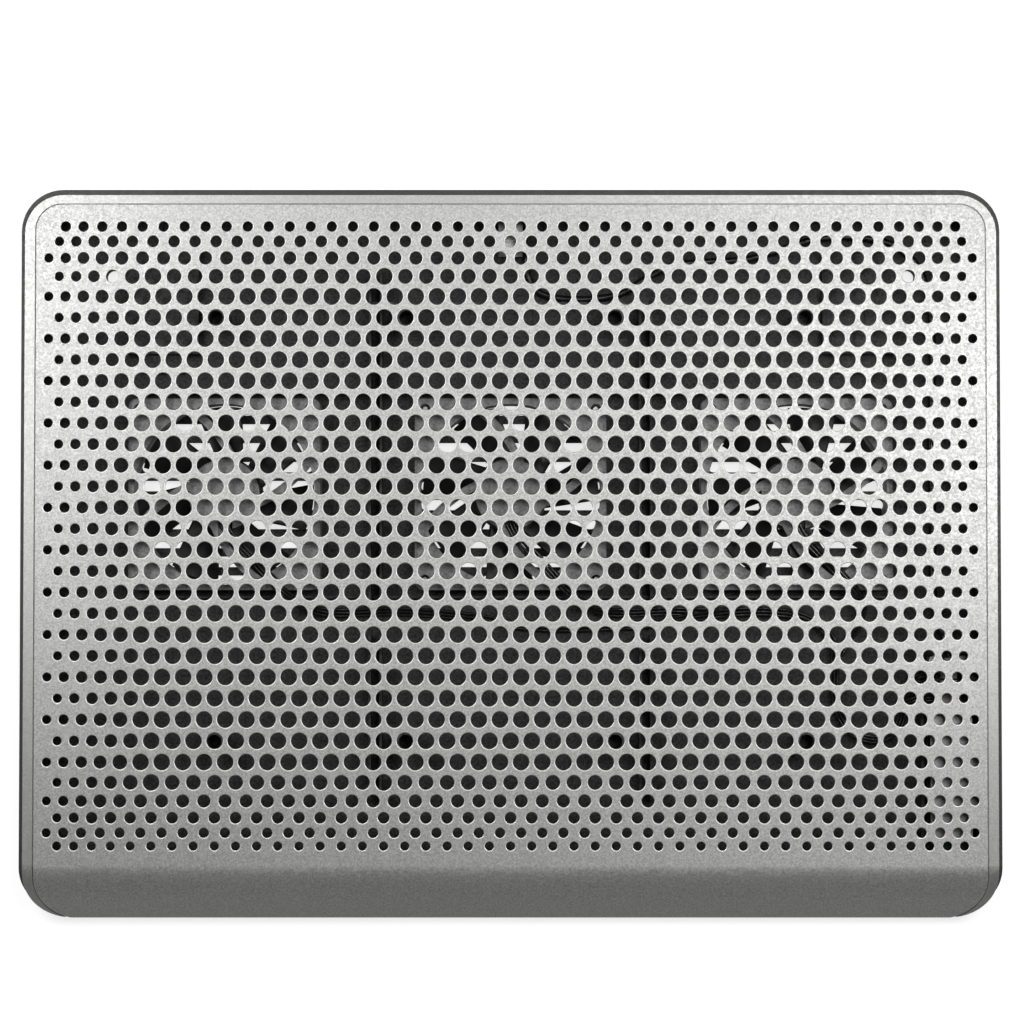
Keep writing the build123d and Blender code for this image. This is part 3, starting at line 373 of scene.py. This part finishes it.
def soften_edges(node, width):
    """Rounds a CAD node's sharp edges, so that they catch the light as moulded ones do."""
    weld = NODES[node].modifiers.new("weld", "WELD")
    weld.merge_threshold = WELD_DISTANCE * MM
    bevel = NODES[node].modifiers.new("bevel", "BEVEL")
    bevel.width = width * MM
    bevel.segments = 2
    bevel.limit_method = "ANGLE"
    bevel.angle_limit = SHARP_ANGLE
    bevel.use_clamp_overlap = True
    bevel.harden_normals = True


# ================================================================ top plate
def edge_gap(level, pitch, squeeze, ease):
    """The distance from a hole of one level to the next one inwards."""
    return pitch * (1 - squeeze * (EDGE_STEPS - level) + ease)


def column_places(long_row):
    """X and level of each hole of a row."""
    half = HOLES_IN_LONG_ROW // 2
    x = -COLUMN_PITCH / 2 - COLUMN_PITCH * (half - 1 - EDGE_STEPS)
    xs = [x + COLUMN_PITCH * i for i in range(half - EDGE_STEPS)]
    for level in reversed(range(EDGE_STEPS)):
        xs.insert(0, xs[0] - edge_gap(level, COLUMN_PITCH, COLUMN_SQUEEZE, COLUMN_EASE))
    left = [(x, min(i, EDGE_STEPS), i) for i, x in enumerate(xs)]
    if long_row:
        return left + [(-x, level, i) for x, level, i in reversed(left)]
    shifted = [(x + COLUMN_PITCH / 2, level, i) for x, level, i in left]
    return shifted + [(-x, level, i) for x, level, i in reversed(shifted[:-1])]


def row_places():
    """Y and level of each row, from the rear."""
    rows = []
    y = REAR_ROW_Y
    for row in range(ROWS):
        level = min(row + 1, ROWS - 1 - row, EDGE_STEPS)
        rows.append((y, level))
        gap_level = min(level, min(row + 2, ROWS - 2 - row, EDGE_STEPS))
        y -= ROW_PITCH if gap_level == EDGE_STEPS else edge_gap(gap_level, ROW_PITCH, ROW_SQUEEZE, ROW_EASE)
    return rows


def perforation():
    """Centre and radius of every hole of the plate."""
    holes = []
    for row, (y, row_level) in enumerate(row_places()):
        columns = column_places(long_row=row % 2 == 0)
        if row == 0:
            columns = columns[1:-1]
        for x, column_level, index in columns:
            level = min(row_level, column_level)
            if row in FULL_SIZE_ROWS and index in FULL_SIZE_COLUMNS:
                level = EDGE_STEPS
            holes.append((x, y, HOLE_R * HOLE_SHRINK ** (EDGE_STEPS - level)))
    return holes


def unrolled(y):
    """How far along the sheet a point of the lip is, as if the lip were flat."""
    if y >= ROLL_START_Y:
        return y
    return ROLL_START_Y - ROLL_RADIUS * math.asin((ROLL_START_Y - y) / ROLL_RADIUS)


def roll_angles(s):
    """The angle that the sheet has turned through at each unrolled place."""
    return np.clip((ROLL_START_Y - s) / ROLL_RADIUS, 0.0, None)


def rolled_up(x, s, depth):
    """Points in space of unrolled points, at a depth under the outer surface."""
    angle = roll_angles(s)
    radius = ROLL_RADIUS - depth
    y = np.where(angle > 0, ROLL_START_Y - radius * np.sin(angle), s)
    z = TOP_Z - ROLL_RADIUS + radius * np.cos(angle)
    return np.stack([x, y, z], axis=1)


def outward(s):
    """Unit normals of the sheet's outer surface."""
    angle = roll_angles(s)
    return np.stack([np.zeros_like(s), -np.sin(angle), np.cos(angle)], axis=1)


def along_sheet(directions, s):
    """Unrolled directions, turned to where the sheet goes."""
    angle = roll_angles(s)
    dx, ds = directions[:, 0], directions[:, 1]
    return np.stack([dx, ds * np.cos(angle), ds * np.sin(angle)], axis=1)


def half_width(y):
    """Half the plate's width at a Y of its front corners."""
    corner_y = PLATE_CORNER_END + PLATE_FRONT_R
    if y >= corner_y:
        return PLATE_HALF
    return PLATE_HALF - PLATE_FRONT_R + math.sqrt(PLATE_FRONT_R ** 2 - (corner_y - y) ** 2)


def lip_rows():
    """Unrolled place and Y of each row of points down the lip."""
    angles = [ROLL_ANGLE * i / LIP_ROWS for i in range(LIP_ROWS + 1)]
    return [(ROLL_START_Y - ROLL_RADIUS * a, ROLL_START_Y - ROLL_RADIUS * math.sin(a)) for a in angles]


def plate_rim():
    """The plate's outline, unrolled, clockwise from where the rear right corner starts."""
    centre = (PLATE_HALF - PLATE_REAR_R, PLATE_REAR - PLATE_REAR_R)
    quarter = [math.pi / 2 * i / CORNER_STEPS for i in range(CORNER_STEPS + 1)]
    radius = PLATE_REAR_R
    rear_right = [(centre[0] + radius * math.sin(a), centre[1] + radius * math.cos(a)) for a in quarter]
    side = [(half_width(y), s) for s, y in lip_rows()]
    count = int(2 * side[-1][0] // LIP_COLUMN)
    lip_end = [(side[-1][0] * (1 - 2 * i / count), side[-1][1]) for i in range(1, count)]
    right = rear_right + side
    left = [(-x, s) for x, s in reversed(right)]
    return np.array(right + lip_end + left)


def rim_directions(rim):
    """At each point of a clockwise outline, the direction out of the sheet."""
    step = np.roll(rim, -1, axis=0) - np.roll(rim, 1, axis=0)
    out = np.stack([-step[:, 1], step[:, 0]], axis=1)
    return out / np.linalg.norm(out, axis=1)[:, None]


def circle_loop(x, s, radius, segments, rounding):
    """A hole's edge: its points at full size, the direction into the hole, and the rounding."""
    angles = np.arange(segments) * 2 * math.pi / segments
    spoke = np.stack([np.cos(angles), np.sin(angles)], axis=1)
    return np.array([x, s]) + radius * spoke, -spoke, rounding


def plate_loops():
    """Every edge of the sheet, the outline first."""
    rim = plate_rim()
    loops = [(rim, rim_directions(rim), EDGE_ROUND)]
    for x, y, radius in perforation():
        segments = max(FEWEST_SEGMENTS, round(HOLE_SEGMENTS * math.sqrt(radius / HOLE_R)))
        loops.append(circle_loop(x, y, radius, segments, HOLE_ROUND))
    x, y, radius = LIGHT_HOLE
    loops.append(circle_loop(x, unrolled(y), radius, LIGHT_SEGMENTS, LIGHT_ROUND))
    return loops


def lip_grid(rim, first_index):
    """Inner points of the lip, numbered from an index, and the edges that keep its triangles in rows."""
    rim_index = {(1 if x > 0 else -1, s): i for i, (x, s) in enumerate(rim)}
    light_x, light_y, light_r = LIGHT_HOLE
    light_s = unrolled(light_y)
    clear = light_r + LIGHT_CLEAR
    points, edges = [], []
    for s, y in lip_rows()[:-1]:
        reach = half_width(y) - LIP_COLUMN / 2
        count = int(2 * reach // LIP_COLUMN)
        row = [(reach * (2 * i / count - 1), s) for i in range(count + 1)]
        row = [p for p in row if math.hypot(p[0] - light_x, p[1] - light_s) > clear]
        start = first_index + len(points)
        points += row
        left, right = (rim_index[(side, s)] for side in (-1, 1))
        chain = [left, *range(start, start + len(row)), right]
        places = [rim[left], *row, rim[right]]
        for (a, pa), (b, pb) in zip(zip(chain, places), zip(chain[1:], places[1:])):
            low_x, high_x = sorted((pa[0], pb[0]))
            beside = low_x >= light_x + clear or high_x <= light_x - clear
            if beside or abs(s - light_s) >= clear:
                edges.append((a, b))
    return points, edges


def inside(point, polygon):
    """True if a point is inside a polygon, by counting crossings."""
    x, y = point
    a, b = polygon, np.roll(polygon, -1, axis=0)
    straddles = (a[:, 1] > y) != (b[:, 1] > y)
    with np.errstate(divide="ignore", invalid="ignore"):
        crossing = a[:, 0] + (y - a[:, 1]) * (b[:, 0] - a[:, 0]) / (b[:, 1] - a[:, 1])
    return np.count_nonzero(straddles & (crossing > x)) % 2 == 1


def sheet_triangles(points, edges, loop_of, rim):
    """Triangles of the sheet's face, without those inside holes or outside the outline."""
    result = delaunay_2d_cdt([Vector(p) for p in points], edges, [], 0, SAME_POINT)
    new_points, triangles, origins = result[0], result[2], result[3]
    if len(new_points) != len(points):
        raise RuntimeError(f"the sheet's edges cross: {len(points)} points became {len(new_points)}")
    source = np.array([o[0] for o in origins])
    triangles = source[np.array(triangles)]
    corner = points[triangles]
    first, second = corner[:, 1] - corner[:, 0], corner[:, 2] - corner[:, 0]
    area = first[:, 0] * second[:, 1] - first[:, 1] * second[:, 0]
    triangles[area < 0] = triangles[area < 0][:, ::-1]
    owner = loop_of[triangles]
    one_loop = (owner[:, 0] == owner[:, 1]) & (owner[:, 1] == owner[:, 2])
    keep = ~(one_loop & (owner[:, 0] > 0))
    for i in np.nonzero(one_loop & (owner[:, 0] == 0))[0]:
        keep[i] = inside(points[triangles[i]].mean(axis=0), rim)
    return triangles[keep]


class Sheet:
    """The plate laid flat, in triangles.

    Its points are those of its edges, moved back to where their rounding starts, and then the inner points of
    the lip. The first outline_size of them belong to the outline.
    """

    def __init__(self, loops):
        sizes = [len(points) for points, _, _ in loops]
        self.outline_size = sizes[0]
        self.edge_points = np.concatenate([points for points, _, _ in loops])
        self.voids = np.concatenate([directions for _, directions, _ in loops])
        self.rounding = np.concatenate([np.full(n, r) for n, (_, _, r) in zip(sizes, loops)])
        self.here = np.arange(len(self.edge_points))
        self.after = self.here + 1
        starts = np.cumsum([0, *sizes])
        self.after[starts[1:] - 1] = starts[:-1]

        face_points = self.edge_points - self.voids * self.rounding[:, None]
        inner, inner_edges = lip_grid(self.edge_points[:self.outline_size], len(self.here))
        self.points = np.concatenate([face_points, np.array(inner)])
        loop_of = np.concatenate([*(np.full(n, i) for i, n in enumerate(sizes)), np.full(len(inner), -1)])
        edges = list(zip(self.here.tolist(), self.after.tolist())) + inner_edges
        self.triangles = sheet_triangles(self.points, edges, loop_of, face_points[:self.outline_size])


def sheet_vertices(sheet):
    """Points in space of the face, the foot of the rounding, and the underside."""
    x, s = sheet.points[:, 0], sheet.points[:, 1]
    edge_x, edge_s = sheet.edge_points[:, 0], sheet.edge_points[:, 1]
    first_inner = len(sheet.here)
    return np.concatenate([
        rolled_up(x, s, 0.0),
        rolled_up(edge_x, edge_s, sheet.rounding * RIM_SLOPE),
        rolled_up(edge_x, edge_s, PLATE_THICK),
        rolled_up(x[first_inner:], s[first_inner:], PLATE_THICK),
    ])


def sheet_faces(sheet):
    """Faces of the top, the rounding, the walls of the edges, and the underside."""
    here, after = sheet.here, sheet.after
    count = len(sheet.points)
    under = np.arange(count) + count + len(here)
    rounded = np.stack([here, after, after + count, here + count], axis=1)
    wall = np.stack([here + count, after + count, under[after], under[here]], axis=1)
    bottom = under[sheet.triangles[:, ::-1]]
    return [*sheet.triangles.tolist(), *rounded.tolist(), *wall.tolist(), *bottom.tolist()]


def sheet_normals(sheet):
    """A normal for each corner of each face: the face and the walls are flat, and the rounding turns."""
    here, after = sheet.here, sheet.after
    up = outward(sheet.points[:, 1])
    side = along_sheet(sheet.voids, sheet.edge_points[:, 1])
    slope = side * math.sin(RIM_TILT) + up[here] * math.cos(RIM_TILT)
    corners = (
        up[sheet.triangles],
        np.stack([up[here], up[after], slope[after], slope[here]], axis=1),
        np.stack([side[here], side[after], side[after], side[here]], axis=1),
        -up[sheet.triangles[:, ::-1]],
    )
    return np.concatenate([group.reshape(-1, 3) for group in corners])


def plate_mesh():
    """The perforated sheet with rounded edges, as one closed mesh with its own smooth normals."""
    sheet = Sheet(plate_loops())
    faces = sheet_faces(sheet)
    mesh = bpy.data.meshes.new("plate")
    mesh.from_pydata((sheet_vertices(sheet) * MM).tolist(), [], faces)
    mesh.materials.append(MATERIALS["plate"])
    mesh.materials.append(MATERIALS["rim"])
    first_rounded = len(sheet.triangles)
    # The rounded rims of the holes take the second, much lighter material, which is a painted highlight.
    painted_highlight_rim_faces = np.zeros(len(faces), dtype=np.int32)
    painted_highlight_rim_faces[first_rounded + sheet.outline_size:first_rounded + len(sheet.here)] = 1
    mesh.polygons.foreach_set("material_index", painted_highlight_rim_faces)
    mesh.polygons.foreach_set("use_smooth", [True] * len(faces))
    mesh.normals_split_custom_set(sheet_normals(sheet).tolist())
    return mesh


def add_piece(name, mesh, body, replaced):
    """A new piece that rides on a body in place of CAD nodes."""
    obj = bpy.data.objects.new(name, mesh)
    bpy.context.scene.collection.objects.link(obj)
    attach(obj, body)
    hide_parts(*replaced)


# ================================================================ stage, lights and camera
def aim(obj, target):
    """Turns a camera or light towards a point in metres."""
    direction = Vector(target) - obj.location
    obj.rotation_mode = "QUATERNION"
    obj.rotation_quaternion = direction.to_track_quat("-Z", "Y")


def make_camera():
    """The camera, nearly straight above the pad."""
    data = bpy.data.cameras.new("camera")
    data.sensor_width = SENSOR
    data.lens = SENSOR * math.hypot(CAMERA_HEIGHT, CAMERA_FORWARD) / VIEW_WIDTH
    data.clip_start = 10.0 * MM
    data.clip_end = 20000.0 * MM
    camera = bpy.data.objects.new("camera", data)
    bpy.context.scene.collection.objects.link(camera)
    x, y, z = VIEW_CENTRE
    camera.location = (x * MM, (y - CAMERA_FORWARD) * MM, (z + CAMERA_HEIGHT) * MM)
    aim(camera, Vector(VIEW_CENTRE) * MM)
    bpy.context.scene.camera = camera


def softbox(name, location, size, watts):
    """A square softbox aimed at the pad; its place and size are in metres."""
    data = bpy.data.lights.new(name, "AREA")
    data.shape = "SQUARE"
    data.size = size
    data.energy = watts
    light = bpy.data.objects.new(name, data)
    bpy.context.scene.collection.objects.link(light)
    light.location = location
    aim(light, (0.0, 0.0, 0.0))


def make_floor():
    """A white light table under the pad, which doesn't show in the metal's reflections."""
    half = FLOOR_HALF * MM
    mesh = bpy.data.meshes.new("floor")
    corners = [(-half, -half, 0), (half, -half, 0), (half, half, 0), (-half, half, 0)]
    mesh.from_pydata(corners, [], [(0, 1, 2, 3)])
    floor = bpy.data.objects.new("floor", mesh)
    bpy.context.scene.collection.objects.link(floor)
    material = bpy.data.materials.new("floor")
    material.use_nodes = True
    principled = material.node_tree.nodes["Principled BSDF"]
    principled.inputs["Base Color"].default_value = (0.8, 0.8, 0.8, 1)
    principled.inputs["Roughness"].default_value = 0.9
    principled.inputs["Emission Color"].default_value = (1, 1, 1, 1)
    principled.inputs["Emission Strength"].default_value = FLOOR_GLOW
    floor.data.materials.append(material)
    floor.visible_glossy = False


def make_world():
    """A dim studio, a little lighter in front of the pad and much lighter low down at its sides."""
    world = bpy.data.worlds.new("studio")
    world.use_nodes = True
    tree = world.node_tree
    background = tree.nodes["Background"]
    background.inputs["Color"].default_value = (1.0, 1.0, 1.0, 1)
    direction = tree.nodes.new("ShaderNodeTexCoord")
    split = tree.nodes.new("ShaderNodeSeparateXYZ")
    tree.links.new(direction.outputs["Generated"], split.inputs["Vector"])

    def faded(value, start, end, at_start, at_end):
        """A number that goes from one value to another as the given value goes from start to end."""
        node = tree.nodes.new("ShaderNodeMapRange")
        settings = (("From Min", start), ("From Max", end), ("To Min", at_start), ("To Max", at_end))
        for socket, number in settings:
            node.inputs[socket].default_value = number
        tree.links.new(value, node.inputs["Value"])
        return node.outputs["Result"]

    def combined(operation, first, second=None):
        """One or two values put through a Math node."""
        node = tree.nodes.new("ShaderNodeMath")
        node.operation = operation
        tree.links.new(first, node.inputs[0])
        if second:
            tree.links.new(second, node.inputs[1])
        return node.outputs[0]

    to_front = faded(split.outputs["Y"], 0.0, -0.6, OVERHEAD, IN_FRONT)
    to_side = faded(combined("ABSOLUTE", split.outputs["X"]), 0.3, 0.7, 0.0, 1.0)
    to_horizon = faded(split.outputs["Z"], 0.38, 0.15, 0.0, LOW_AT_SIDES)
    strength = combined("ADD", to_front, combined("MULTIPLY", to_side, to_horizon))
    tree.links.new(strength, background.inputs["Strength"])
    bpy.context.scene.world = world


# ================================================================ put together
make_camera()
make_floor()
make_world()
for settings in SOFTBOXES:
    softbox(*settings)
bpy.context.scene.view_settings.view_transform = "Standard"

for name, material in NODE_MATERIALS.items():
    dress(NODES[name], MATERIALS[material])
for name, width in SOFT_EDGES.items():
    soften_edges(name, width)
add_piece("plate", plate_mesh(), "base", ["top_plate", "front_lip"])
